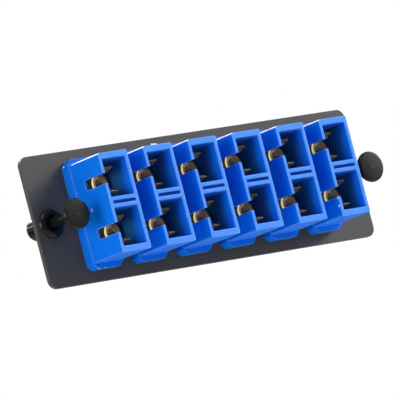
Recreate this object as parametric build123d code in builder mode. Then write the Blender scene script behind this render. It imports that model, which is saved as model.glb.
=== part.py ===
from build123d import *
import os

# Fibre adapter panel: a flat plate with six two-port adapters and two push-pull latches.
# Frame: X runs along the row of adapters, Z is up and the front of the panel faces -Y.
# The origin is the middle of the plate's back face. All sizes are in millimetres.

# Plate: one flat sheet with a window for each adapter and a hole for each latch
plate_width = 109.4
plate_height = 34.2
plate_thickness = 1.0
plate_corner_radius = 2.4
adapter_count = 6
latch_end_distance = 5.1
latch_row_distance = 12.6

# Adapter housing: two moulded halves joined at the middle of the flange
body_width = 9.3
body_height = 25.7
body_reach = 12.1
body_edge_chamfer = 0.25
flange_width = 9.8
flange_height = 28.6
flange_half_thickness = 1.45
flange_corner_chamfer = 1.35
window_clearance = 0.12

# Ports: two to a housing, one above the other
port_pitch = 12.7
port_width = 7.5
port_height = 9.8
mouth_chamfer = 0.2
keyway_width = 2.6
keyway_length = 7.9
keyway_corner_radius = 0.4
core_pocket_height = 0.9
core_pocket_depth = 1.5

# Latch holder: base, barrel and two hooked arms, one moulding at each end of a port
holder_base_width = 7.9
holder_base_height = 10.6
holder_base_thickness = 1.4
holder_clearance = 0.08
barrel_radius = 2.45
barrel_lip_length = 0.5
barrel_entry_depth = 0.45
ferrule_hole_radius = 1.3
arm_width = 2.0
arm_outer_height = 3.75
arm_thickness = 0.8
arm_root_gusset = 0.5
arm_tip_recess = 2.8
arm_tip_taper = 0.45
hook_length = 2.6
hook_gap_half = 2.12
hook_nose = 0.35

# Split alignment sleeve
sleeve_bore_radius = 1.25
sleeve_outer_radius = 1.6
sleeve_length = 10.8
sleeve_split = 0.5
sleeve_side_clearance = 0.08
sleeve_end_clearance = 0.05

# Spring clip that holds an adapter in its window
clip_thickness = 0.3
clip_clearance = 0.04
clip_spine_reach = 2.5
clip_leg_reach = 6.0
clip_leg_width = 7.0
clip_front_gap = 0.05
tongue_width = 3.0
tongue_window_margin = 0.3
tongue_root_margin = 0.9
tongue_flare = 1.0
tongue_plate_gap = 0.2

# Latches: a grommet snapped into the plate and a plunger that slides through it
latch_drop = 0.65
grommet_head_radius = 3.85
grommet_head_height = 1.1
grommet_crown_radius = 2.3
grommet_barrel_radius = 3.0
grommet_hole_clearance = 0.1
grommet_bead_height = 0.25
grommet_bead_start = 0.1
grommet_bead_length = 0.6
grommet_reach = 5.9
grommet_end_chamfer = 0.6
grommet_lip_depth = 1.8
grommet_slot_width = 0.3
grommet_slot_start = 0.4
grommet_slot_turn = 72
grommet_mouth_radius = 2.1
grommet_mouth_depth = 0.6
shaft_radius = 1.45
shaft_clearance = 0.07
plunger_pull_out = 7.9
plunger_seat_gap = 0.3
plunger_head_radius = 4.05
plunger_head_thickness = 1.05
plunger_head_fillet = 0.85
plunger_dome_height = 0.35
plunger_step_radius = 3.75
plunger_step_height = 0.9
plunger_step_chamfer = 0.25
barb_radius = 1.9
barb_stop_gap = 0.1
barb_land = 0.4
barb_length = 1.5
barb_nose_radius = 1.1
barb_clearance = 0.12

# Places that follow from the sizes above
latch_spacing = plate_width - 2 * latch_end_distance
adapter_pitch = (latch_spacing - 2 * latch_row_distance) / (adapter_count - 1)
joint_depth = plate_thickness + flange_half_thickness
housing_length = flange_half_thickness + body_reach
row_start = -adapter_pitch * (adapter_count - 1) / 2
window_width = body_width + 2 * window_clearance
window_height = body_height + 2 * window_clearance
chamber_half_length = sleeve_length / 2 + sleeve_end_clearance
barrel_length = chamber_half_length + barrel_lip_length
chamber_radius = sleeve_outer_radius + sleeve_side_clearance
clip_recess = clip_thickness + clip_clearance

os.makedirs("parts", exist_ok=True)


def end_plane(x, facing):
    """Plane in the housing joint at one adapter, its normal pointing forwards or backwards."""
    return Plane(origin=(x, -joint_depth, 0), x_dir=(1, 0, 0), z_dir=(0, facing, 0))


def save(piece, name):
    """Label a finished piece and write it as one STEP file."""
    piece.part.label = name
    export_step(piece.part, f"parts/{name}.step")
    print(name, round(piece.part.volume, 2))


def make_plate():
    """Flat plate with rounded corners, adapter windows and latch holes."""
    with BuildPart() as plate:
        with BuildSketch(Plane.XZ):
            RectangleRounded(plate_width, plate_height, plate_corner_radius)
            with GridLocations(adapter_pitch, 0, adapter_count, 1):
                Rectangle(window_width, window_height, mode=Mode.SUBTRACT)
            with Locations((-latch_spacing / 2, -latch_drop), (latch_spacing / 2, -latch_drop)):
                Circle(grommet_barrel_radius + grommet_hole_clearance, mode=Mode.SUBTRACT)
        extrude(amount=plate_thickness)
    return plate


def make_clip_seat(x):
    """Space that the spring clip takes in a rear half, round its side and its two ends."""
    spine_depth = plate_thickness + clip_spine_reach + clip_clearance
    leg_depth = plate_thickness + clip_leg_reach + clip_clearance
    back_of_flange = Plane(origin=(x, -plate_thickness, 0), x_dir=(1, 0, 0), z_dir=(0, 1, 0))
    with BuildPart() as seat:
        with BuildSketch(back_of_flange):
            with Locations((-body_width / 2, 0)):
                Rectangle(2 * clip_recess, body_height + 2 * clip_recess)
        extrude(amount=spine_depth)
        with BuildSketch(back_of_flange):
            with Locations((-body_width / 2, -body_height / 2), (-body_width / 2, body_height / 2)):
                Rectangle(2 * (clip_leg_width + clip_clearance), 2 * clip_recess)
        extrude(amount=leg_depth)
    return seat


def make_housing(x, facing):
    """One moulded half of a two-port housing, from the joint to its port face."""
    joint = end_plane(x, facing)
    port_face = joint.offset(housing_length)
    with BuildPart() as housing:
        with BuildSketch(joint) as flange:
            Rectangle(flange_width, flange_height)
            chamfer(flange.vertices(), length=flange_corner_chamfer)
        extrude(amount=flange_half_thickness)
        with BuildSketch(joint) as body:
            Rectangle(body_width, body_height)
            chamfer(body.vertices(), length=body_edge_chamfer)
        extrude(amount=housing_length)
        if facing > 0:
            add(make_clip_seat(x).part, mode=Mode.SUBTRACT)
        with BuildSketch(joint):
            with GridLocations(0, port_pitch, 1, 2):
                Rectangle(port_width, port_height)
        extrude(amount=housing_length, mode=Mode.SUBTRACT)
        with BuildSketch(port_face):
            with GridLocations(0, port_pitch, 1, 2):
                Rectangle(port_width + 2 * mouth_chamfer, port_height + 2 * mouth_chamfer)
        extrude(amount=-mouth_chamfer, taper=45, mode=Mode.SUBTRACT)
        with BuildSketch(joint):
            with GridLocations(0, port_pitch, 1, 2):
                Rectangle(holder_base_width + 2 * holder_clearance,
                          holder_base_height + 2 * holder_clearance)
        extrude(amount=holder_base_thickness + holder_clearance, mode=Mode.SUBTRACT)
        with BuildSketch(port_face):
            Rectangle(port_width, core_pocket_height)
        extrude(amount=-core_pocket_depth, mode=Mode.SUBTRACT)
        side = Plane(origin=(x - body_width / 2, -joint_depth, 0), x_dir=(0, facing, 0), z_dir=(-1, 0, 0))
        with BuildSketch(side):
            with Locations((housing_length, -port_pitch / 2), (housing_length, port_pitch / 2)):
                RectangleRounded(2 * keyway_length, keyway_width, keyway_corner_radius)
        extrude(amount=-(body_width - port_width) / 2 - port_width / 4, mode=Mode.SUBTRACT)
    return housing


def make_holder(x, z, facing):
    """Latch holder of one end of one port: base, sleeve barrel and two hooked arms."""
    joint = Plane(origin=(x, -joint_depth, z), x_dir=(1, 0, 0), z_dir=(0, facing, 0))
    side = Plane(origin=(x, -joint_depth, z), x_dir=(0, facing, 0), z_dir=(1, 0, 0))
    tip = housing_length - arm_tip_recess
    catch = tip - hook_length
    inner = arm_outer_height - arm_thickness
    root = holder_base_thickness
    with BuildPart() as holder:
        with BuildSketch(joint):
            Rectangle(holder_base_width, holder_base_height)
        extrude(amount=holder_base_thickness)
        with BuildSketch(joint):
            Circle(barrel_radius)
        extrude(amount=barrel_length)
        for way in (-1, 1):
            with BuildSketch(side):
                with BuildLine():
                    Polyline(
                        (root, way * (inner - arm_root_gusset)),
                        (root + arm_root_gusset, way * inner),
                        (catch, way * inner),
                        (catch, way * hook_gap_half),
                        (catch + hook_nose, way * hook_gap_half),
                        (tip, way * (arm_outer_height - arm_tip_taper - hook_nose)),
                        (tip, way * (arm_outer_height - arm_tip_taper)),
                        (catch, way * arm_outer_height),
                        (root, way * arm_outer_height),
                        close=True,
                    )
                make_face()
            extrude(amount=arm_width / 2, both=True)
        with BuildSketch(joint):
            Circle(chamber_radius)
        extrude(amount=chamber_half_length, mode=Mode.SUBTRACT)
        with BuildSketch(joint):
            Circle(ferrule_hole_radius)
        extrude(amount=barrel_length, mode=Mode.SUBTRACT)
        with BuildSketch(joint.offset(barrel_length)):
            Circle(ferrule_hole_radius + barrel_entry_depth)
        extrude(amount=-barrel_entry_depth, taper=45, mode=Mode.SUBTRACT)
    return holder


def make_sleeve(x, z):
    """Split ceramic sleeve, held in the two barrels of a port."""
    middle = Plane(origin=(x, -joint_depth, z), x_dir=(1, 0, 0), z_dir=(0, 1, 0))
    with BuildPart() as sleeve:
        with BuildSketch(middle):
            Circle(sleeve_outer_radius)
            Circle(sleeve_bore_radius, mode=Mode.SUBTRACT)
            with Locations((sleeve_outer_radius, 0)):
                Rectangle(2 * sleeve_outer_radius, sleeve_split, mode=Mode.SUBTRACT)
        extrude(amount=sleeve_length / 2, both=True)
    return sleeve


def make_clip(x):
    """Folded spring clip: a spine on the key side and two legs with sprung tongues."""
    left = x - body_width / 2
    front = clip_front_gap - plate_thickness
    spine_length = clip_spine_reach - front
    leg_length = clip_leg_reach - front
    strip = Plane(origin=(left, front, 0), x_dir=(1, 0, 0), z_dir=(0, 1, 0))
    tongue_root = clip_leg_reach - tongue_root_margin
    with BuildPart() as clip:
        with BuildSketch(strip):
            with Locations((clip_thickness / 2, 0)):
                Rectangle(clip_thickness, body_height)
        extrude(amount=spine_length)
        with BuildSketch(strip):
            with Locations(*[(clip_leg_width / 2, way * (body_height - clip_thickness) / 2)
                             for way in (-1, 1)]):
                Rectangle(clip_leg_width, clip_thickness)
        extrude(amount=leg_length)
        leg_middle = left + clip_leg_width / 2
        for way in (-1, 1):
            window = Plane(origin=(leg_middle, 0, way * body_height / 2), x_dir=(1, 0, 0), z_dir=(0, 0, way))
            window_span = tongue_root - tongue_plate_gap
            with BuildSketch(window):
                with Locations((0, -way * (tongue_plate_gap + tongue_root) / 2)):
                    Rectangle(tongue_width + 2 * tongue_window_margin, window_span)
            extrude(amount=-clip_recess, mode=Mode.SUBTRACT)
            outer = body_height / 2
            with BuildSketch(Plane(origin=(leg_middle, 0, 0), x_dir=(0, 1, 0), z_dir=(1, 0, 0))):
                with BuildLine():
                    Polyline(
                        (tongue_root, way * outer),
                        (tongue_plate_gap, way * (outer + tongue_flare)),
                        (tongue_plate_gap, way * (outer + tongue_flare - clip_thickness)),
                        (tongue_root, way * (outer - clip_thickness)),
                        close=True,
                    )
                make_face()
            extrude(amount=tongue_width / 2, both=True)
    return clip


def latch_profile_plane(x):
    """Plane through a latch axis: across is the radius and up is the depth behind the plate."""
    return Plane(origin=(x, 0, -latch_drop), x_dir=(1, 0, 0), z_dir=(0, 0, 1))


def latch_axis(x):
    """Axis of one latch, pointing backwards."""
    return Axis((x, 0, -latch_drop), (0, 1, 0))


def make_grommet(x):
    """Grommet: domed head, barrel through the plate, snap bead and four split legs behind it."""
    bore = shaft_radius + shaft_clearance
    chamber = barb_radius + barb_clearance
    bead = grommet_barrel_radius + grommet_bead_height
    crown = -plate_thickness - grommet_head_height
    with BuildPart() as grommet:
        with BuildSketch(latch_profile_plane(x)):
            with BuildLine():
                Polyline(
                    (grommet_head_radius, -plate_thickness),
                    (grommet_barrel_radius, -plate_thickness),
                    (grommet_barrel_radius, grommet_bead_start),
                    (bead, grommet_bead_start),
                    (bead, grommet_bead_start + grommet_bead_length / 2),
                    (grommet_barrel_radius, grommet_bead_start + grommet_bead_length),
                    (grommet_barrel_radius, grommet_reach - grommet_end_chamfer),
                    (grommet_barrel_radius - grommet_end_chamfer / 2, grommet_reach),
                    (chamber, grommet_reach),
                    (chamber, grommet_lip_depth - plate_thickness),
                    (bore, grommet_lip_depth - plate_thickness),
                    (bore, crown + grommet_mouth_depth),
                    (grommet_mouth_radius, crown),
                    (grommet_crown_radius, crown),
                )
                TangentArc((grommet_crown_radius, crown), (grommet_head_radius, -plate_thickness),
                           tangent=(1, 0))
            make_face()
        revolve(axis=latch_axis(x))
        with BuildSketch(Plane(origin=(x, grommet_reach, -latch_drop), x_dir=(1, 0, 0), z_dir=(0, -1, 0))):
            for turn in (grommet_slot_turn, grommet_slot_turn + 90):
                Rectangle(2 * grommet_head_radius, grommet_slot_width, rotation=turn)
        extrude(amount=grommet_reach - grommet_slot_start, mode=Mode.SUBTRACT)
    return grommet


def make_plunger(x):
    """Push-pull plunger, drawn in its pulled-out place with its barb against the grommet's lip."""
    crown = plate_thickness + grommet_head_height
    head_back = -(crown + plunger_seat_gap + plunger_pull_out)
    step_front = head_back - plunger_step_height
    head_front = step_front - plunger_head_thickness
    shoulder = grommet_lip_depth - plate_thickness + barb_stop_gap
    barb_end = shoulder + barb_length
    with BuildPart() as plunger:
        with BuildSketch(latch_profile_plane(x)) as profile:
            with BuildLine():
                Polyline(
                    (0, head_front - plunger_dome_height),
                    (0, barb_end),
                    (barb_nose_radius, barb_end),
                    (barb_radius, shoulder + barb_land),
                    (barb_radius, shoulder),
                    (shaft_radius, shoulder),
                    (shaft_radius, head_back),
                    (plunger_step_radius - plunger_step_chamfer, head_back),
                    (plunger_step_radius, head_back - plunger_step_chamfer),
                    (plunger_step_radius, step_front),
                    (plunger_head_radius, step_front),
                    (plunger_head_radius, head_front),
                )
                TangentArc((0, head_front - plunger_dome_height), (plunger_head_radius, head_front),
                           tangent=(1, 0))
            make_face()
            rim = profile.vertices().sort_by_distance((plunger_head_radius, head_front))[0]
            fillet(rim, radius=plunger_head_fillet)
        revolve(axis=latch_axis(x))
    return plunger


save(make_plate(), "panel_plate")

for number in range(adapter_count):
    centre = row_start + number * adapter_pitch
    tag = number + 1
    save(make_housing(centre, -1), f"front_housing_{tag}")
    save(make_housing(centre, 1), f"rear_housing_{tag}")
    save(make_clip(centre), f"panel_clip_{tag}")
    for level, height in (("upper", port_pitch / 2), ("lower", -port_pitch / 2)):
        save(make_holder(centre, height, -1), f"front_latch_{tag}_{level}")
        save(make_holder(centre, height, 1), f"rear_latch_{tag}_{level}")
        save(make_sleeve(centre, height), f"split_sleeve_{tag}_{level}")

for side, place in (("left", -latch_spacing / 2), ("right", latch_spacing / 2)):
    save(make_grommet(place), f"latch_grommet_{side}")
    save(make_plunger(place), f"latch_plunger_{side}")
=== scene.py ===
import logging
import math
import random
from dataclasses import dataclass, field
from enum import Enum
from typing import Dict, List, Optional, Sequence, Tuple, Union

import bpy
from mathutils import Matrix, Vector


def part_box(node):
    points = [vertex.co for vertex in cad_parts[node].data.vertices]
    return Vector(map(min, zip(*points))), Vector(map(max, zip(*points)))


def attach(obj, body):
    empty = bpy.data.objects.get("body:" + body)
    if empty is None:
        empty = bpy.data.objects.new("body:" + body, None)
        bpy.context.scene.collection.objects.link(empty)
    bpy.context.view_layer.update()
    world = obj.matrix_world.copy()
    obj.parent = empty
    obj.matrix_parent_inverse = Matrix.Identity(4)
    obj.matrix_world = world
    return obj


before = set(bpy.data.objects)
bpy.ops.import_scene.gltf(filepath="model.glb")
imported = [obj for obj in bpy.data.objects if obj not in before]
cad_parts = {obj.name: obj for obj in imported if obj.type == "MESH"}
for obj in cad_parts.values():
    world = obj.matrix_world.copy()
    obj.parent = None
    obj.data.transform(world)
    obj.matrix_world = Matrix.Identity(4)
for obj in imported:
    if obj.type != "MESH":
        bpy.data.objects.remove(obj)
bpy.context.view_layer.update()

LOG = logging.getLogger("fibre_adapter_panel")
MM = 0.001
ADAPTER_COUNT = 6

# The Mix node's sockets for colours, by place, because their names repeat for its other kinds
MIX_FACTOR, MIX_FIRST, MIX_SECOND, MIX_RESULT = 0, 6, 7, 2

Colour = Tuple[float, float, float]
Step = Tuple[float, float]
Value = Union["Wire", float]

WHITE: Colour = (1.0, 1.0, 1.0)


@dataclass(frozen=True)
class Grain:
    """How fine a noise is, and how it runs along X, Y and Z."""

    per_mm: float
    detail: float = 2.0
    stretch: Tuple[float, float, float] = (1.0, 1.0, 1.0)
    roughness: float = 0.5


@dataclass(frozen=True)
class Relief:
    """How deep a relief is, in millimetres, and the share of it that shows."""

    depth: float
    strength: float


class Wire:
    """A value that runs between shader nodes; arithmetic on it adds Math nodes."""

    def __init__(self, recipe: "Recipe", socket: bpy.types.NodeSocket) -> None:
        """Holds one output socket.

        Args:
            recipe: The material that the socket belongs to.
            socket: The output socket.
        """
        self.recipe = recipe
        self.socket = socket

    def _math(self, operation: str, *values: Value) -> "Wire":
        """Returns the result of one Math node on the values."""
        return self.recipe.node("ShaderNodeMath", {"operation": operation}, dict(enumerate(values)))

    def __add__(self, other: Value) -> "Wire":
        """Returns self + other."""
        return self._math("ADD", self, other)

    def __radd__(self, other: Value) -> "Wire":
        """Returns other + self."""
        return self._math("ADD", other, self)

    def __sub__(self, other: Value) -> "Wire":
        """Returns self - other."""
        return self._math("SUBTRACT", self, other)

    def __rsub__(self, other: Value) -> "Wire":
        """Returns other - self."""
        return self._math("SUBTRACT", other, self)

    def __mul__(self, other: Value) -> "Wire":
        """Returns self * other."""
        return self._math("MULTIPLY", self, other)

    def __rmul__(self, other: Value) -> "Wire":
        """Returns other * self."""
        return self._math("MULTIPLY", other, self)

    def __abs__(self) -> "Wire":
        """Returns the value without its sign."""
        return self._math("ABSOLUTE", self)

    def larger(self, other: Value) -> "Wire":
        """Returns the larger of the two values."""
        return self._math("MAXIMUM", self, other)

    def past_last(self, pitch: float) -> "Wire":
        """Returns how far the value is past the last whole number of pitches."""
        return self._math("FLOORED_MODULO", self, pitch)

    def between(self, low: float, high: float) -> "Wire":
        """Rises smoothly from 0 to 1 as the value goes from low to high.

        Args:
            low: Where the rise starts.
            high: Where it ends; below low, the step falls instead.

        Returns:
            The stepped value.
        """
        settings = {"interpolation_type": "SMOOTHSTEP"}
        if low <= high:
            ends = {"From Min": low, "From Max": high, "To Min": 0.0, "To Max": 1.0}
        else:
            ends = {"From Min": high, "From Max": low, "To Min": 1.0, "To Max": 0.0}
        return self.recipe.node("ShaderNodeMapRange", settings, {"Value": self, **ends})


class Recipe:
    """Nodes under construction, of a material or of the world."""

    bevel_samples = 6
    edge_step: Step = (0.995, 0.80)

    def __init__(self, owner: Union[bpy.types.Material, bpy.types.World]) -> None:
        """Starts with no nodes.

        Args:
            owner: The material or world that the nodes belong to.
        """
        self.owner = owner
        self.owner.use_nodes = True
        self.tree = owner.node_tree
        self.tree.nodes.clear()

    def node(
        self,
        kind: str,
        settings: Optional[dict] = None,
        sockets: Optional[dict] = None,
        outlet: Union[str, int] = 0,
    ) -> Wire:
        """Adds one node.

        Args:
            kind: The node's type.
            settings: Its own settings, set before its sockets.
            sockets: Values or wires by the input's name or place.
            outlet: Name or place of the output that is returned.

        Returns:
            A wire from that output.
        """
        return Wire(self, self._place(kind, settings or {}, sockets or {}).outputs[outlet])

    def _place(self, kind: str, settings: dict, sockets: dict) -> bpy.types.Node:
        """Puts a node in the tree, with its settings first and then its sockets."""
        made = self.tree.nodes.new(kind)
        for key, value in settings.items():
            setattr(made, key, value)
        for key, value in sockets.items():
            if isinstance(value, Wire):
                self.tree.links.new(value.socket, made.inputs[key])
            else:
                made.inputs[key].default_value = value
        return made

    def part_of(self, vector: Wire, axis: str) -> Wire:
        """Returns a vector's share along X, Y or Z."""
        return self.node("ShaderNodeSeparateXYZ", {}, {0: vector}, axis)

    def along(self, axis: str) -> Wire:
        """Returns the place on the object along X, Y or Z, in millimetres."""
        return self.part_of(self.place(), axis)

    def depth_from(self, middle_mm: float) -> Wire:
        """Distance in front of or behind a plane across Y, in millimetres.

        Args:
            middle_mm: Where the plane lies along Y.

        Returns:
            A wire that is never negative.
        """
        return abs(self.along("Y") - middle_mm)

    def off_rows(self, pitch_mm: float, axis: str) -> Wire:
        """Way from the nearest of a row of middles that stand at odd halves of a pitch.

        Args:
            pitch_mm: Distance between two middles, in millimetres.
            axis: X, Y or Z, along which the row runs.

        Returns:
            A wire from minus to plus half the pitch.
        """
        return self.along(axis).past_last(pitch_mm) - pitch_mm / 2

    def place(self, stretch: Sequence[float] = (1.0, 1.0, 1.0)) -> Wire:
        """The point on the object, in millimetres times a stretch.

        Args:
            stretch: Factor along X, Y and Z.

        Returns:
            A vector wire.
        """
        point = self.node("ShaderNodeTexCoord", outlet="Object")
        scale = tuple(factor / MM for factor in stretch)
        return self.node("ShaderNodeVectorMath", {"operation": "MULTIPLY"}, {0: point, 1: scale})

    def noise(self, grain: Grain) -> Wire:
        """Smooth noise.

        Args:
            grain: Its fineness and run.

        Returns:
            A wire from 0 to 1.
        """
        sockets = {
            "Vector": self.place(grain.stretch),
            "Scale": grain.per_mm,
            "Detail": grain.detail,
            "Roughness": grain.roughness,
        }
        return self.node("ShaderNodeTexNoise", {}, sockets, "Fac")

    def mix(self, factor: Value, first: Union[Wire, Colour], second: Union[Wire, Colour]) -> Wire:
        """Mixes two colours.

        Args:
            factor: 0 for the first, 1 for the second.
            first: A colour or a colour wire.
            second: A colour or a colour wire.

        Returns:
            The mixed colour.
        """
        start, end = (c if isinstance(c, Wire) else (*c, 1.0) for c in (first, second))
        sockets = {MIX_FACTOR: factor, MIX_FIRST: start, MIX_SECOND: end}
        return self.node("ShaderNodeMix", {"data_type": "RGBA"}, sockets, MIX_RESULT)

    def rounded_normal(self, radius_mm: float) -> Wire:
        """Shading direction of an edge rounded off by a small radius."""
        return self.node("ShaderNodeBevel", {"samples": self.bevel_samples}, {"Radius": radius_mm * MM})

    def edge_mask(self, rounded: Wire) -> Wire:
        """How far a rounded edge's direction leaves the face's own, 0 on the flat.

        Args:
            rounded: A direction from rounded_normal.

        Returns:
            A wire from 0 to 1.
        """
        face = self.node("ShaderNodeNewGeometry", outlet="Normal")
        settings = {"operation": "DOT_PRODUCT"}
        alike = self.node("ShaderNodeVectorMath", settings, {0: rounded, 1: face}, "Value")
        return alike.between(*self.edge_step)

    def bump(self, height: Wire, relief: Relief, normal: Optional[Wire] = None) -> Wire:
        """Raises and sinks the surface in its shading.

        Args:
            height: The relief's shape, from 0 to 1.
            relief: Its depth and strength.
            normal: The direction that it is laid on.

        Returns:
            A direction wire for the shader.
        """
        sockets = {"Height": height, "Distance": relief.depth * MM, "Strength": relief.strength}
        if normal is not None:
            sockets["Normal"] = normal
        return self.node("ShaderNodeBump", {}, sockets)

    def finish(self, sockets: Dict[str, Union[Wire, float, tuple]]) -> bpy.types.Material:
        """Closes the material with its shader.

        Args:
            sockets: The shader's sockets by name, each a wire or a constant.

        Returns:
            The finished material.
        """
        self.close("ShaderNodeOutputMaterial", self.node("ShaderNodeBsdfPrincipled", {}, sockets))
        return self.owner

    def close(self, kind: str, shader: Wire) -> None:
        """Joins a shader to the output of the material or world."""
        self._place(kind, {}, {"Surface": shader})


@dataclass(frozen=True)
class PanelPaint:
    """Fine-grained charcoal powder paint on the plate, worn paler along its edges."""

    colour: Colour = (0.044, 0.042, 0.042)
    speck: Colour = (0.095, 0.092, 0.094)
    speck_step: Step = (0.52, 0.72)
    speck_share: float = 0.55
    worn: Colour = (0.26, 0.25, 0.25)
    worn_share: float = 0.35
    patch_step: Step = (0.3, 0.7)
    patch_share: float = 0.4
    edge_radius: float = 0.16
    grain: Grain = Grain(5.0, 3.0, roughness=0.6)
    patches: Grain = Grain(0.06)
    relief: Relief = Relief(0.05, 0.35)
    roughness: float = 0.42
    grain_roughness: float = 0.10
    patch_roughness: float = 0.06
    specular: float = 0.40

    def material(self) -> bpy.types.Material:
        """Returns the paint as a material."""
        recipe = Recipe(bpy.data.materials.new("panel_paint"))
        grain = recipe.noise(self.grain)
        patches = recipe.noise(self.patches)
        rounded = recipe.rounded_normal(self.edge_radius)
        wear = self.worn_share + patches.between(*self.patch_step) * self.patch_share
        tone = recipe.mix(grain.between(*self.speck_step) * self.speck_share, self.colour, self.speck)
        tone = recipe.mix(recipe.edge_mask(rounded) * wear, tone, self.worn)
        return recipe.finish({
            "Base Color": tone,
            "Roughness": self.roughness + grain * self.grain_roughness + patches * self.patch_roughness,
            "Normal": recipe.bump(grain, self.relief, rounded),
            "Specular IOR Level": self.specular,
        })


@dataclass(frozen=True)
class Mark:
    """A small pale spot, a rubbed or bruised nick or a painted glint, by its middle and its half sizes in
    millimetres.
    """

    middle: Tuple[float, float, float]
    half_sizes: Tuple[float, float, float]


@dataclass(frozen=True)
class RowSizes:
    """Sizes of the row of adapters that their finishes follow, in millimetres."""

    adapter_pitch: float = 14.8
    port_pitch: float = 12.7
    weld_plane: float = -2.45


@dataclass(frozen=True)
class MouldedBlue(RowSizes):
    """Bright blue moulded plastic: flow clouds and rare nicks, with painted highlights on the port faces,
    edges and top ridge, painted shade inside the ports and one painted glint.
    """

    half_length: float = 13.55
    colour: Colour = (0.002, 0.168, 0.820)
    cloud: Colour = (0.001, 0.135, 0.680)
    cloud_step: Step = (0.35, 0.75)
    cloud_share: float = 0.6
    painted_face_highlight: Colour = (0.105, 0.335, 1.0)
    painted_face_highlight_share: float = 0.70
    face_depths: Step = (0.25, 0.05)
    painted_edge_highlight: Colour = (0.34, 0.60, 1.0)
    painted_edge_highlight_share: float = 0.85
    edge_radius: float = 0.28
    edge_fade: Step = (0.9, 2.2)
    nick: Colour = (0.45, 0.62, 1.0)
    nick_step: Step = (0.735, 0.76)
    nick_share: float = 0.8
    painted_bore_shade: Colour = (0.015, 0.122, 0.34)
    bore_half_width: float = 4.2
    bore_half_height: float = 4.84
    bore_fade: float = 0.1
    bore_depths: Step = (1.0, 5.0)
    painted_ridge_highlight: Colour = (0.92, 0.95, 1.0)
    ridge_highlight_fade: Step = (2.2, 2.4)
    ridge_across: float = -4.65
    ridge_height: float = 12.85
    ridge_width: float = 0.32
    ridge_fade: float = 0.2
    ridge_raggedness: float = 0.25
    bruise_and_glint: Colour = (0.80, 0.88, 1.0)
    bruise_and_glint_share: float = 0.9
    bruise_and_glint_step: Step = (1.4, 1.0)
    bruise_and_glint_raggedness: float = 0.8
    clouds: Grain = Grain(0.12, 3.0, (1.0, 1.6, 0.7))
    grain: Grain = Grain(9.0)
    nicks: Grain = Grain(0.9, 2.0, (1.0, 0.6, 1.8), 0.7)
    ragged_ridge: Grain = Grain(0.7, 2.0, (1.0, 0.5, 1.0))
    ragged_bruise_and_glint: Grain = Grain(3.0, 3.0)
    relief: Relief = Relief(0.012, 0.30)
    roughness: float = 0.33
    grain_roughness: float = 0.08
    cloud_roughness: float = 0.06
    specular: float = 0.10
    marks: Tuple[Mark, ...] = (
        Mark((-40.6, -3.9, -14.3), (0.55, 0.30, 0.25)),
        Mark((-38.5, -3.9, -14.3), (0.35, 0.25, 0.20)),
        # This mark is a painted glint at the top corner of the first body by the plate, not a nick.
        Mark((-41.9, -1.9, 12.9), (0.25, 0.30, 0.30)),
        Mark((-41.65, -8.2, 0.0), (0.30, 0.22, 0.55)),
        Mark((32.35, -15.4, -10.0), (0.30, 0.45, 0.30)),
        Mark((32.35, -15.6, -7.9), (0.30, 0.25, 0.50)),
    )

    def material(self) -> bpy.types.Material:
        """Returns the plastic as a material."""
        recipe = Recipe(bpy.data.materials.new("housing_blue"))
        clouds = recipe.noise(self.clouds)
        grain = recipe.noise(self.grain)
        nicks = recipe.noise(self.nicks).between(*self.nick_step)
        rounded = recipe.rounded_normal(self.edge_radius)
        depth = recipe.depth_from(self.weld_plane)
        edge = recipe.edge_mask(rounded) * depth.between(*self.edge_fade)
        port_face = depth.between(*(self.half_length - lip for lip in self.face_depths))
        ridge = self._ridge_highlight_cover(recipe) * depth.between(*self.ridge_highlight_fade)
        tone = recipe.mix(clouds.between(*self.cloud_step) * self.cloud_share, self.colour, self.cloud)
        # The insides of the ports are painted darker blue: painted shade.
        tone = recipe.mix(self._bore_shade_cover(recipe, depth), tone, self.painted_bore_shade)
        # The port faces are painted paler blue: a painted highlight for the light that falls on them.
        tone = recipe.mix(port_face * self.painted_face_highlight_share, tone, self.painted_face_highlight)
        # Rounded edges are painted pale blue: a painted highlight along them.
        tone = recipe.mix(edge * self.painted_edge_highlight_share, tone, self.painted_edge_highlight)
        # A near-white painted highlight along the bodies' top ridge.
        tone = recipe.mix(ridge, tone, self.painted_ridge_highlight)
        tone = recipe.mix(nicks * self.nick_share, tone, self.nick)
        # Pale nicks and scuffs, with one painted glint among them.
        tone = recipe.mix(self._bruised_and_glinting(recipe) * self.bruise_and_glint_share, tone, self.bruise_and_glint)
        return recipe.finish({
            "Base Color": tone,
            "Roughness": self.roughness + grain * self.grain_roughness + clouds * self.cloud_roughness,
            "Normal": recipe.bump(grain, self.relief, rounded),
            "Specular IOR Level": self.specular,
        })

    def _ridge_highlight_cover(self, recipe: Recipe) -> Wire:
        """Covers the painted highlight along the long edge on top of the bodies, on the side of their
        slots.

        Args:
            recipe: The material that is being made.

        Returns:
            A wire that is 1 along the ridge and 0 away from it.
        """
        ragged = recipe.noise(self.ragged_ridge) * self.ridge_raggedness
        across = recipe.off_rows(self.adapter_pitch, "X") + ragged
        height = recipe.along("Z") - ragged
        side = self.ridge_across + self.ridge_width
        foot = self.ridge_height - self.ridge_width
        return across.between(side + self.ridge_fade, side) * height.between(foot - self.ridge_fade, foot)

    def _bore_shade_cover(self, recipe: Recipe, depth: Wire) -> Wire:
        """Covers the inside of the ports, which are painted darker as painted shade in the recess.

        Args:
            recipe: The material that is being made.
            depth: Distance from the weld plane.

        Returns:
            A wire that is 1 in the ports and 0 outside them.
        """
        across = recipe.off_rows(self.adapter_pitch, "X")
        upright = recipe.off_rows(self.port_pitch, "Z")
        inside = depth.between(*(self.half_length - below for below in self.bore_depths))
        for off_middle, half_size in ((across, self.bore_half_width), (upright, self.bore_half_height)):
            fade = half_size ** 2, (half_size - self.bore_fade) ** 2
            inside = inside * (off_middle * off_middle).between(*fade)
        return inside

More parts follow.
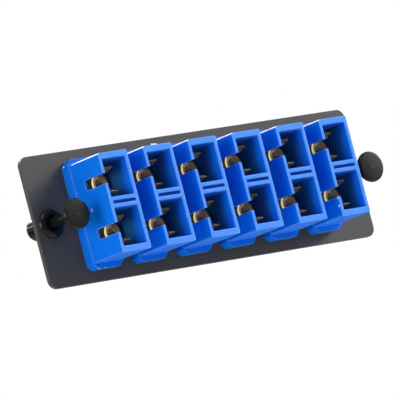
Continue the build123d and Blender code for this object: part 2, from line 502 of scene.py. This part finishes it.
    def _bruised_and_glinting(self, recipe: Recipe) -> Wire:
        """Covers the marks: nicks and scuffs, and one painted glint.

        Args:
            recipe: The material that is being made.

        Returns:
            A wire that is 1 on a mark and 0 away from all of them.
        """
        ragged = recipe.noise(self.ragged_bruise_and_glint) * self.bruise_and_glint_raggedness
        settings = {"operation": "DISTANCE"}
        cover: Value = 0.0
        for mark in self.marks:
            stretch = tuple(1.0 / half for half in mark.half_sizes)
            middle = tuple(at * factor for at, factor in zip(mark.middle, stretch))
            sockets = {0: recipe.place(stretch), 1: middle}
            away = recipe.node("ShaderNodeVectorMath", settings, sockets, "Value")
            cover = (away + ragged).between(*self.bruise_and_glint_step).larger(cover)
        return cover


@dataclass(frozen=True)
class AmberPlastic(RowSizes):
    """Clear amber engineering plastic with a glossy skin; its barrels carry painted light: olive and
    golden rings, painted highlights on the rims and painted glow.

    The steps that end in ring are distances from a port's middle line, the ones that end in side
    are ways across from it, and the ones that end in depth are lengths back from the barrel's tip.
    """

    barrel_reach: float = 5.95
    colour: Colour = (0.13, 0.10, 0.065)
    dark: Colour = (0.080, 0.060, 0.038)
    dark_step: Step = (0.35, 0.7)
    olive: Colour = (0.135, 0.155, 0.120)
    olive_ring: Step = (2.55, 2.50)
    olive_share: float = 0.8
    inside: Colour = (0.30, 0.21, 0.10)
    inside_ring: Step = (2.10, 1.90)
    inside_share: float = 0.9
    mouth_depth: Step = (0.45, 0.25)
    far_rim_painted_light: Colour = (0.42, 0.23, 0.09)
    far_side: Step = (0.6, 1.4)
    far_ring: Step = (2.2, 2.35)
    near_rim_painted_highlight: Colour = (0.98, 0.72, 0.24)
    slot_side: Step = (-0.9, -1.7)
    rim_ring: Step = (2.00, 2.15)
    painted_glow: Colour = (0.010, 0.010, 0.007)
    hollow_painted_glow: Colour = (0.190, 0.110, 0.034)
    hollow_depth: Step = (1.6, 1.2)
    hollow_ring: Step = (2.02, 1.90)
    hollow_side: Step = (0.7, -0.9)
    base_painted_glow: Colour = (0.085, 0.098, 0.062)
    base_side: Step = (-2.0, -2.4)
    base_ring: Step = (2.45, 2.55)
    base_height: Step = (2.6, 2.2)
    crest_painted_glow: Colour = (0.62, 0.56, 0.34)
    crest_ring: Step = (2.18, 2.30)
    edge_radius: float = 0.30
    flow: Grain = Grain(0.5, 3.0, (1.0, 0.35, 1.0))
    grain: Grain = Grain(12.0)
    relief: Relief = Relief(0.006, 0.25)
    roughness: float = 0.16
    grain_roughness: float = 0.06
    clearness: float = 0.15
    index: float = 1.62

    def material(self) -> bpy.types.Material:
        """Returns the plastic as a material."""
        recipe = Recipe(bpy.data.materials.new("latch_amber"))
        flow = recipe.noise(self.flow)
        grain = recipe.noise(self.grain)
        rounded = recipe.rounded_normal(self.edge_radius)
        across = recipe.off_rows(self.adapter_pitch, "X")
        upright = recipe.off_rows(self.port_pitch, "Z")
        depth = recipe.depth_from(self.weld_plane)
        from_axis = across * across + upright * upright
        mouth = self._tip(depth, self.mouth_depth)
        near = mouth * across.between(*self.slot_side)
        far = mouth * across.between(*self.far_side)
        tone = recipe.mix(flow.between(*self.dark_step), self.colour, self.dark)
        # The barrel's outer skin is painted a paler olive: painted light, for light passing through the
        # amber.
        tone = recipe.mix(self._ring(from_axis, self.olive_ring) * self.olive_share, tone, self.olive)
        # The barrel's bore is painted a lighter golden brown: painted light where the bore lies in shade.
        tone = recipe.mix(self._ring(from_axis, self.inside_ring) * self.inside_share, tone, self.inside)
        # The rim's far side is painted orange: painted light on that side of the rim.
        tone = recipe.mix(far * self._ring(from_axis, self.far_ring), tone, self.far_rim_painted_light)
        # The rim's slot-side crescent is painted pale gold: a painted highlight.
        tone = recipe.mix(near * self._ring(from_axis, self.rim_ring), tone, self.near_rim_painted_highlight)
        hollow = self._tip(depth, self.hollow_depth) * self._ring(from_axis, self.hollow_ring)
        base = across.between(*self.base_side) * self._ring(from_axis, self.base_ring)
        # The emission is painted light: a faint glow everywhere, and glows in the barrel's mouth, at its
        # base by the slot and on the rim's crest.
        shine = recipe.mix(hollow * across.between(*self.hollow_side), self.painted_glow, self.hollow_painted_glow)
        shine = recipe.mix(base * abs(upright).between(*self.base_height), shine, self.base_painted_glow)
        shine = recipe.mix(near * self._ring(from_axis, self.crest_ring), shine, self.crest_painted_glow)
        return recipe.finish({
            "Base Color": tone,
            "Emission Color": shine,
            "Emission Strength": 1.0,
            "Roughness": self.roughness + grain * self.grain_roughness,
            "Normal": recipe.bump(grain, self.relief, rounded),
            "Transmission Weight": self.clearness,
            "IOR": self.index,
        })

    def _tip(self, depth: Wire, back: Step) -> Wire:
        """Covers the barrels' tips.

        Args:
            depth: Distance from the weld plane.
            back: Lengths back from the tip between which the cover rises.

        Returns:
            A wire that is 1 at the tip.
        """
        return depth.between(*(self.barrel_reach - length for length in back))

    def _ring(self, from_axis: Wire, radii: Step) -> Wire:
        """Covers a ring round the ports' middle lines.

        Args:
            from_axis: The square of the distance from the nearest line.
            radii: Distances between which the cover goes from 0 to 1.

        Returns:
            A wire from 0 to 1.
        """
        return from_axis.between(*(radius ** 2 for radius in radii))


@dataclass(frozen=True)
class SleeveCeramic:
    """Ground zirconia: dense off-white with a fine polish."""

    colour: Colour = (0.83, 0.82, 0.76)
    shade: Colour = (0.74, 0.72, 0.65)
    shade_step: Step = (0.3, 0.8)
    grain: Grain = Grain(6.0, 3.0, (1.0, 0.2, 1.0))
    relief: Relief = Relief(0.004, 0.3)
    roughness: float = 0.14
    grain_roughness: float = 0.10
    index: float = 2.0

    def material(self) -> bpy.types.Material:
        """Returns the ceramic as a material."""
        recipe = Recipe(bpy.data.materials.new("sleeve_ceramic"))
        grain = recipe.noise(self.grain)
        return recipe.finish({
            "Base Color": recipe.mix(grain.between(*self.shade_step), self.colour, self.shade),
            "Roughness": self.roughness + grain * self.grain_roughness,
            "Normal": recipe.bump(grain, self.relief),
            "IOR": self.index,
        })


@dataclass(frozen=True)
class SpringSteel:
    """Rolled stainless strip, brushed along its length."""

    colour: Colour = (0.60, 0.60, 0.61)
    streak: Colour = (0.43, 0.43, 0.45)
    streak_step: Step = (0.35, 0.75)
    edge_radius: float = 0.05
    brushed: Grain = Grain(5.0, 4.0, (2.0, 2.0, 0.12), 0.65)
    stain: Grain = Grain(0.35)
    relief: Relief = Relief(0.006, 0.35)
    roughness: float = 0.22
    brushed_roughness: float = 0.16
    stain_roughness: float = 0.06

    def material(self) -> bpy.types.Material:
        """Returns the steel as a material."""
        recipe = Recipe(bpy.data.materials.new("clip_steel"))
        brushed = recipe.noise(self.brushed)
        stain = recipe.noise(self.stain)
        rounded = recipe.rounded_normal(self.edge_radius)
        return recipe.finish({
            "Base Color": recipe.mix(brushed.between(*self.streak_step), self.colour, self.streak),
            "Roughness": self.roughness + brushed * self.brushed_roughness + stain * self.stain_roughness,
            "Normal": recipe.bump(brushed, self.relief, rounded),
            "Metallic": 1.0,
        })


@dataclass(frozen=True)
class LatchBlack:
    """Black nylon: a satin skin, rims painted grey as a painted highlight, and matt faces on the
    plungers' heads.
    """

    colour: Colour = (0.005, 0.005, 0.0055)
    dusty: Colour = (0.010, 0.010, 0.011)
    dusty_step: Step = (0.4, 0.75)
    dusty_share: float = 0.5
    rim: Colour = (0.19, 0.19, 0.20)
    rim_highlight_share: float = 0.6
    edge_radius: float = 0.18
    crown_radius: float = 0.32
    face_depths: Step = (12.10, 12.32)
    grain: Grain = Grain(7.0, 3.0)
    cloud: Grain = Grain(0.5)
    relief: Relief = Relief(0.012, 0.25)
    roughness: float = 0.15
    grain_roughness: float = 0.08
    cloud_roughness: float = 0.06
    face_roughness: float = 0.34
    specular: float = 0.20

    def material(self) -> bpy.types.Material:
        """Returns the nylon as a material."""
        recipe = Recipe(bpy.data.materials.new("latch_black"))
        grain = recipe.noise(self.grain)
        cloud = recipe.noise(self.cloud)
        edge = recipe.edge_mask(recipe.rounded_normal(self.edge_radius))
        crowned = recipe.rounded_normal(self.crown_radius)
        face = recipe.depth_from(0.0).between(*self.face_depths)
        rough = self.roughness + grain * self.grain_roughness + cloud * self.cloud_roughness
        tone = recipe.mix(cloud.between(*self.dusty_step) * self.dusty_share, self.colour, self.dusty)
        return recipe.finish({
            # The edges are painted grey: a painted highlight on the rims.
            "Base Color": recipe.mix(edge * self.rim_highlight_share, tone, self.rim),
            "Roughness": rough + face * self.face_roughness,
            "Normal": recipe.bump(grain, self.relief, crowned),
            "Specular IOR Level": self.specular,
        })


@dataclass(frozen=True)
class FlashBlue:
    """Housing plastic squeezed so thin that it has turned nearly white."""

    colour: Colour = (0.90, 0.94, 1.0)
    thick: Colour = (0.52, 0.68, 1.0)
    thick_step: Step = (0.45, 0.7)
    thick_share: float = 0.7
    streaks: Grain = Grain(2.5, 3.0, (1.0, 1.0, 0.4))
    relief: Relief = Relief(0.03, 0.4)
    roughness: float = 0.42
    streak_roughness: float = 0.12
    specular: float = 0.3

    def material(self) -> bpy.types.Material:
        """Returns the plastic as a material."""
        recipe = Recipe(bpy.data.materials.new("housing_flash"))
        streaks = recipe.noise(self.streaks)
        thick = streaks.between(*self.thick_step) * self.thick_share
        return recipe.finish({
            "Base Color": recipe.mix(thick, self.colour, self.thick),
            "Roughness": self.roughness + streaks * self.streak_roughness,
            "Normal": recipe.bump(streaks, self.relief),
            "Specular IOR Level": self.specular,
        })


class Slot(Enum):
    """Material slots of the part, by the names that its record gives them."""

    PAINT = "plate_paint"
    BLUE = "housing_blue"
    AMBER = "latch_amber"
    CERAMIC = "sleeve_ceramic"
    STEEL = "clip_steel"
    BLACK = "latch_black"


class Workshop:
    """Makes each slot's finish once, gives it to pieces and puts new pieces in the scene."""

    def __init__(self) -> None:
        """Makes the six slots' finishes."""
        self.materials: Dict[Slot, bpy.types.Material] = {
            Slot.PAINT: PanelPaint().material(),
            Slot.BLUE: MouldedBlue().material(),
            Slot.AMBER: AmberPlastic().material(),
            Slot.CERAMIC: SleeveCeramic().material(),
            Slot.STEEL: SpringSteel().material(),
            Slot.BLACK: LatchBlack().material(),
        }

    def dress(self, node: str, slot: Slot) -> None:
        """Gives a finish to one CAD node.

        Args:
            node: The node's name.
            slot: The finish.
        """
        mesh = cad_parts[node].data
        mesh.materials.clear()
        mesh.materials.append(self.materials[slot])
        LOG.info("%s takes the finish %s", node, slot.value)

    def add(
        self,
        name: str,
        mesh: bpy.types.Mesh,
        slot: Slot,
        body: str,
        finish: Optional[bpy.types.Material] = None,
    ) -> None:
        """Puts a new piece in the scene, on its body and with its finish.

        Args:
            name: The piece's name.
            mesh: Its mesh, in metres in the object's frame.
            slot: The slot whose finish it takes when no finish is given.
            body: The CAD body that it rides on.
            finish: Its own finish, where it isn't the slot's.
        """
        piece = bpy.data.objects.new(name, mesh)
        bpy.context.scene.collection.objects.link(piece)
        mesh.materials.append(finish or self.materials[slot])
        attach(piece, body)
        LOG.info("%s rides on %s", name, body)


def tube(path: Sequence[Vector], radii: Sequence[float], sides: int) -> bpy.types.Mesh:
    """Builds a closed ring of tube along points that lie in one plane facing Y.

    Args:
        path: The points of the ring's centreline, in order, in metres.
        radii: The tube's radius at each point.
        sides: Faces round the tube.

    Returns:
        The ring's mesh.
    """
    count = len(path)
    plane = Vector((0, 1, 0))
    verts: List[Vector] = []
    for index, point in enumerate(path):
        ahead = (path[(index + 1) % count] - path[index - 1]).normalized()
        outward = ahead.cross(plane)
        for side in range(sides):
            turn = 2 * math.pi * side / sides
            verts.append(point + radii[index] * (math.cos(turn) * outward + math.sin(turn) * plane))
    faces = []
    for index in range(count):
        for side in range(sides):
            after, beside = (index + 1) % count, (side + 1) % sides
            faces.append((index * sides + side, index * sides + beside,
                          after * sides + beside, after * sides + side))
    mesh = bpy.data.meshes.new("tube")
    mesh.from_pydata(verts, [], faces)
    mesh.polygons.foreach_set("use_smooth", [True] * len(faces))
    mesh.update()
    return mesh


@dataclass
class Panel:
    """The painted plate."""

    node: str = "panel_plate"

    def build(self, workshop: Workshop) -> None:
        """Dresses the plate."""
        workshop.dress(self.node, Slot.PAINT)


@dataclass
class Adapter:
    """One two-port adapter: two housing halves, spring clip, latch holders and sleeves."""

    number: int
    bead_radius: float = 0.03
    bead_shares: Tuple[float, float] = (0.75, 1.0)
    bead_spacing: float = 0.35
    bead_sides: int = 6
    corner_chamfer: float = 1.35
    levels: Tuple[str, str] = ("upper", "lower")

    def build(self, workshop: Workshop) -> None:
        """Dresses the adapter's nodes and adds its weld bead."""
        for half in ("front", "rear"):
            workshop.dress(f"{half}_housing_{self.number}", Slot.BLUE)
            for level in self.levels:
                workshop.dress(f"{half}_latch_{self.number}_{level}", Slot.AMBER)
        for level in self.levels:
            workshop.dress(f"split_sleeve_{self.number}_{level}", Slot.CERAMIC)
        workshop.dress(f"panel_clip_{self.number}", Slot.STEEL)
        self._weld_bead(workshop)

    def _weld_bead(self, workshop: Workshop) -> None:
        """Adds the thin uneven bead that ultrasonic welding squeezes out of the seam."""
        low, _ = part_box(f"rear_housing_{self.number}")
        _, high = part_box(f"front_housing_{self.number}")
        chance = random.Random(self.number)
        points = self._seam(low, high)
        radii = [self.bead_radius * MM * chance.uniform(*self.bead_shares) for _ in points]
        mesh = tube(points, radii, self.bead_sides)
        workshop.add(f"weld_bead_{self.number}", mesh, Slot.BLUE, "panel")

    def _seam(self, low: Vector, high: Vector) -> List[Vector]:
        """Walks the flange's outline in the weld plane.

        Args:
            low: Lowest corner of the rear half, whose front is the weld plane.
            high: Highest corner of the front half, whose back is the weld plane.

        Returns:
            Points of the outline, in order.
        """
        cut = self.corner_chamfer * MM
        outline = [
            (high.x, high.z - cut), (high.x - cut, high.z),
            (low.x + cut, high.z), (low.x, high.z - cut),
            (low.x, low.z + cut), (low.x + cut, low.z),
            (high.x - cut, low.z), (high.x, low.z + cut),
        ]
        points = [Vector((across, high.y, up)) for across, up in outline]
        filled: List[Vector] = []
        for index, point in enumerate(points):
            after = points[(index + 1) % len(points)]
            steps = max(1, round((after - point).length / (self.bead_spacing * MM)))
            filled.extend(point.lerp(after, step / steps) for step in range(steps))
        return filled


@dataclass
class MouldFlash:
    """A ragged fin of flash left on the top front edge of one housing."""

    number: int = 2
    start: float = -24.0
    end: float = -21.75
    top: float = 12.85
    sink: float = 0.05
    depth: float = -15.9
    thickness: float = 0.09
    lean: float = 0.6
    steps: int = 20
    rise_shares: Tuple[float, float] = (0.8, 1.0)
    outline: Tuple[Tuple[float, float], ...] = (
        (0.00, 0.15), (0.05, 0.70), (0.13, 0.42), (0.20, 0.15),
        (0.34, 0.46), (0.50, 0.40), (0.75, 0.26), (1.00, 0.03),
    )

    def build(self, workshop: Workshop) -> None:
        """Adds the fin."""
        chance = random.Random(self.number)
        front, back = self.depth - self.thickness / 2, self.depth + self.thickness / 2
        foot = self.top - self.sink
        verts: List[Tuple[float, float, float]] = []
        for step in range(self.steps + 1):
            share = step / self.steps
            rise = self._height(share) * chance.uniform(*self.rise_shares)
            across = self.start + (self.end - self.start) * share
            lean = self.thickness * chance.uniform(-self.lean, self.lean)
            crest = (across, self.depth + lean, self.top + rise)
            verts += [(across, front, foot), crest, (across, back, foot)]
        faces = []
        for step in range(self.steps):
            near, far = 3 * step, 3 * (step + 1)
            faces += [(near, far, far + 1, near + 1), (near + 1, far + 1, far + 2, near + 2),
                      (near + 2, far + 2, far, near)]
        last = 3 * self.steps
        faces += [(0, 1, 2), (last + 2, last + 1, last)]
        mesh = bpy.data.meshes.new("mould_flash")
        mesh.from_pydata([tuple(at * MM for at in vert) for vert in verts], [], faces)
        finish = FlashBlue().material()
        workshop.add(f"mould_flash_{self.number}", mesh, Slot.BLUE, "panel", finish)

    def _height(self, share: float) -> float:
        """Reads the fin's outline.

        Args:
            share: Place along the fin, from 0 to 1.

        Returns:
            Its height there, in millimetres.
        """
        for (before, low), (after, high) in zip(self.outline, self.outline[1:]):
            if share <= after:
                return low + (high - low) * (share - before) / (after - before)
        return self.outline[-1][1]


@dataclass
class PushLatch:
    """One push-pull latch: a grommet fixed in the plate and a plunger that slides."""

    side: str

    def build(self, workshop: Workshop) -> None:
        """Dresses the grommet and the plunger."""
        for piece in ("grommet", "plunger"):
            workshop.dress(f"latch_{piece}_{self.side}", Slot.BLACK)


@dataclass(frozen=True)
class Softbox:
    """A square white lamp that faces the object."""

    name: str
    towards: Tuple[float, float, float]
    size: float
    power: float
    distance: float = 1.4

    def build(self) -> None:
        """Puts the lamp in the scene."""
        lamp = bpy.data.lights.new(self.name, "AREA")
        lamp.shape = "SQUARE"
        lamp.size = self.size
        lamp.energy = self.power
        holder = bpy.data.objects.new(self.name, lamp)
        bpy.context.scene.collection.objects.link(holder)
        direction = Vector(self.towards).normalized()
        holder.location = direction * self.distance
        holder.rotation_mode = "QUATERNION"
        holder.rotation_quaternion = direction.to_track_quat("Z", "Y")
        holder.visible_camera = False


@dataclass
class Studio:
    """Pale floor, white surroundings, soft lamps and the camera; its lengths are in metres."""

    floor_drop: float = 0.60
    floor_radius: float = 12.0
    floor_sides: int = 96
    floor_shades: Tuple[float, float] = (0.86, 0.90)
    floor_cloud: Grain = Grain(0.002)
    floor_paleness: float = 0.8
    ambient: float = 0.06
    front_gloss: float = 0.25
    backdrop_span: Step = (-0.45, 0.10)
    backdrop_rise: Step = (-0.30, -0.02)
    lens: float = 656.06
    lens_shift: Tuple[float, float] = (-0.0016, 0.0014)
    sensor_width: float = 36.0
    clip_range: Tuple[float, float] = (0.1, 40.0)
    camera_place: Tuple[float, float, float] = (-1.19699, -1.40680, -0.21178)
    camera_right: Tuple[float, float, float] = (0.75538, -0.60556, -0.25041)
    camera_up: Tuple[float, float, float] = (0.12069, -0.24704, 0.96146)
    lamps: List[Softbox] = field(default_factory=lambda: [
        Softbox("key_softbox", (0.78, -0.42, 0.46), 0.6, 17.5),
        Softbox("high_softbox", (-0.30, -0.50, 0.80), 0.8, 5.5),
        Softbox("left_softbox", (-1.0, -0.12, 0.10), 0.8, 12.8),
        Softbox("right_softbox", (1.0, -0.06, 0.15), 0.8, 12.0),
        Softbox("ridge_softbox", (0.12, 0.76, 0.66), 0.40, 12.0),
        Softbox("front_softbox", (0.0, -1.0, 0.05), 0.5, 2.5),
    ])

    def build(self) -> None:
        """Builds the surroundings."""
        self._floor()
        self._world()
        for lamp in self.lamps:
            lamp.build()
        self._camera()
        bpy.context.scene.view_settings.view_transform = "Standard"
        LOG.info("studio built with %d lamps", len(self.lamps))

    def _floor(self) -> None:
        """Lays the floor, which is clear when it is seen from below."""
        recipe = Recipe(bpy.data.materials.new("studio_floor"))
        dull, pale = ((shade,) * 3 for shade in self.floor_shades)
        shade = recipe.mix(recipe.noise(self.floor_cloud), dull, pale)
        matt = recipe.node("ShaderNodeBsdfDiffuse", {}, {"Color": shade})
        lit = recipe.node("ShaderNodeEmission", {}, {"Color": shade})
        clear = recipe.node("ShaderNodeBsdfTransparent")
        seen = recipe.node("ShaderNodeLightPath", outlet="Is Camera Ray")
        below = recipe.node("ShaderNodeNewGeometry", outlet="Backfacing")
        laid = recipe.node("ShaderNodeMixShader", {}, {0: seen * self.floor_paleness, 1: matt, 2: lit})
        whole = recipe.node("ShaderNodeMixShader", {}, {0: below, 1: laid, 2: clear})
        recipe.close("ShaderNodeOutputMaterial", whole)
        turns = [2 * math.pi * step / self.floor_sides for step in range(self.floor_sides)]
        reach = self.floor_radius
        rim = [(reach * math.cos(turn), reach * math.sin(turn), -self.floor_drop) for turn in turns]
        mesh = bpy.data.meshes.new("floor")
        mesh.from_pydata(rim, [], [tuple(range(len(rim)))])
        mesh.materials.append(recipe.owner)
        floor = bpy.data.objects.new("floor", mesh)
        bpy.context.scene.collection.objects.link(floor)

    def _world(self) -> None:
        """Makes the surroundings white to the eye and to clear pieces, and a dim grey as light.

        Gloss shows them white behind the object and above its horizon, and darker elsewhere.
        """
        recipe = Recipe(bpy.data.worlds.new("surroundings"))
        facing = recipe.node("ShaderNodeTexCoord", outlet="Generated")
        behind = recipe.part_of(facing, "Y").between(*self.backdrop_span)
        above = recipe.part_of(facing, "Z").between(*self.backdrop_rise)
        seen, gloss, passing = (
            recipe.node("ShaderNodeLightPath", outlet=ray)
            for ray in ("Is Camera Ray", "Is Glossy Ray", "Is Transmission Ray")
        )
        shine = recipe.mix(behind * above, (self.front_gloss,) * 3, WHITE)
        shown = recipe.mix(seen, shine, WHITE)
        colour = recipe.mix(seen.larger(gloss).larger(passing), (self.ambient,) * 3, shown)
        recipe.close("ShaderNodeOutputWorld", recipe.node("ShaderNodeBackground", {}, {"Color": colour}))
        bpy.context.scene.world = recipe.owner

    def _camera(self) -> None:
        """Sets the camera where the photograph was taken from."""
        lens = bpy.data.cameras.new("camera")
        lens.sensor_width = self.sensor_width
        lens.lens = self.lens
        lens.shift_x, lens.shift_y = self.lens_shift
        lens.clip_start, lens.clip_end = self.clip_range
        camera = bpy.data.objects.new("camera", lens)
        bpy.context.scene.collection.objects.link(camera)
        right = Vector(self.camera_right).normalized()
        up = Vector(self.camera_up)
        up = (up - right * up.dot(right)).normalized()
        turn = Matrix((right, up, right.cross(up))).transposed()
        camera.matrix_world = Matrix.Translation(self.camera_place) @ turn.to_4x4()
        bpy.context.scene.camera = camera


def main() -> None:
    """Dresses the panel and lights it."""
    logging.basicConfig(level=logging.INFO, format="%(name)s: %(message)s")
    workshop = Workshop()
    Panel().build(workshop)
    for number in range(1, ADAPTER_COUNT + 1):
        Adapter(number).build(workshop)
    MouldFlash().build(workshop)
    for side in ("left", "right"):
        PushLatch(side).build(workshop)
    Studio().build()


if __name__ == "__main__":
    main()
